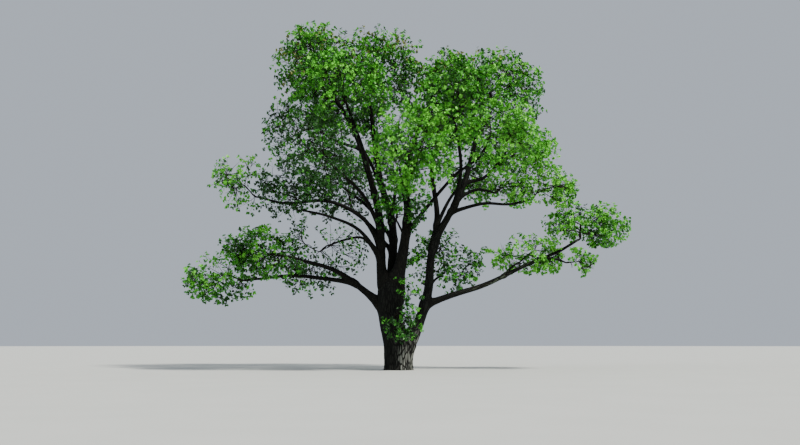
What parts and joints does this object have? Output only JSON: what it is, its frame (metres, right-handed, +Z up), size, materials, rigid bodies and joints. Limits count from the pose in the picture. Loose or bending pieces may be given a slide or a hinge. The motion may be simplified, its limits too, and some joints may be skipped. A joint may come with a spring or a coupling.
{
  "type": "broad-crowned deciduous tree",
  "caption": "Large old deciduous tree in spring leaf: a thick low-forking trunk, rising stems, long low side boughs and a broad, open crown of leafy masses.",
  "frame": {"origin": "middle of the flat cut under the trunk, at ground level", "axes": "+Z up along the trunk, +X along the crown's longest side, to the right as the tree is usually seen, and -Y towards its front"},
  "size_m": [23.9893, 15.0032, 19.3095],
  "materials": {
    "bark": "rough furrowed bark, dark brown with pale grey patches low on the trunk",
    "foliage": "fresh green leaves, yellow-green where young, on thin dark twigs"
  },
  "bodies": {
    "root": {"trunk": "bark", "left_stem": "bark", "inner_left_stem": "bark", "centre_stem": "bark", "right_stem": "bark", "right_inner_stem": "bark", "front_top_right_bough": "bark", "front_top_left_bough": "bark", "back_top_left_bough": "bark", "left_high_bough": "bark", "right_upper_bough": "bark", "front_left_bough": "bark", "front_centre_bough": "bark", "front_right_bough": "bark", "back_left_bough": "bark", "back_centre_bough": "bark", "back_right_bough": "bark", "left_long_bough": "bark", "left_arched_bough": "bark", "left_back_bough": "bark", "front_low_bough": "bark", "right_middle_bough": "bark", "right_far_bough": "bark", "left_low_bough": "bark", "left_lowest_bough": "bark", "left_middle_bough": "bark", "right_low_bough": "bark", "right_low_upper_bough": "bark", "right_low_side_bough": "bark", "right_stem_spur": "bark", "foliage_top_left": "foliage", "foliage_top_middle": "foliage", "foliage_top_notch": "foliage", "foliage_top_right": "foliage", "foliage_top_front_left": "foliage", "foliage_top_front_right": "foliage", "foliage_top_back_left": "foliage", "foliage_top_back_right": "foliage", "foliage_left_shoulder": "foliage", "foliage_right_shoulder": "foliage", "foliage_front_left": "foliage", "foliage_front_centre": "foliage", "foliage_front_right": "foliage", "foliage_back_left": "foliage", "foliage_back_centre": "foliage", "foliage_back_right": "foliage", "foliage_far_left": "foliage", "foliage_left_lower": "foliage", "foliage_left_inner": "foliage", "foliage_front_low": "foliage", "foliage_right_lower": "foliage", "foliage_far_right": "foliage", "foliage_low_left_outer": "foliage", "foliage_low_left_middle": "foliage", "foliage_low_left_inner": "foliage", "foliage_low_right_outer": "foliage", "foliage_low_right_middle": "foliage", "foliage_low_right_lower": "foliage", "foliage_stem_spray": "foliage", "foliage_trunk_spray": "foliage"}
  },
  "joints": []
}
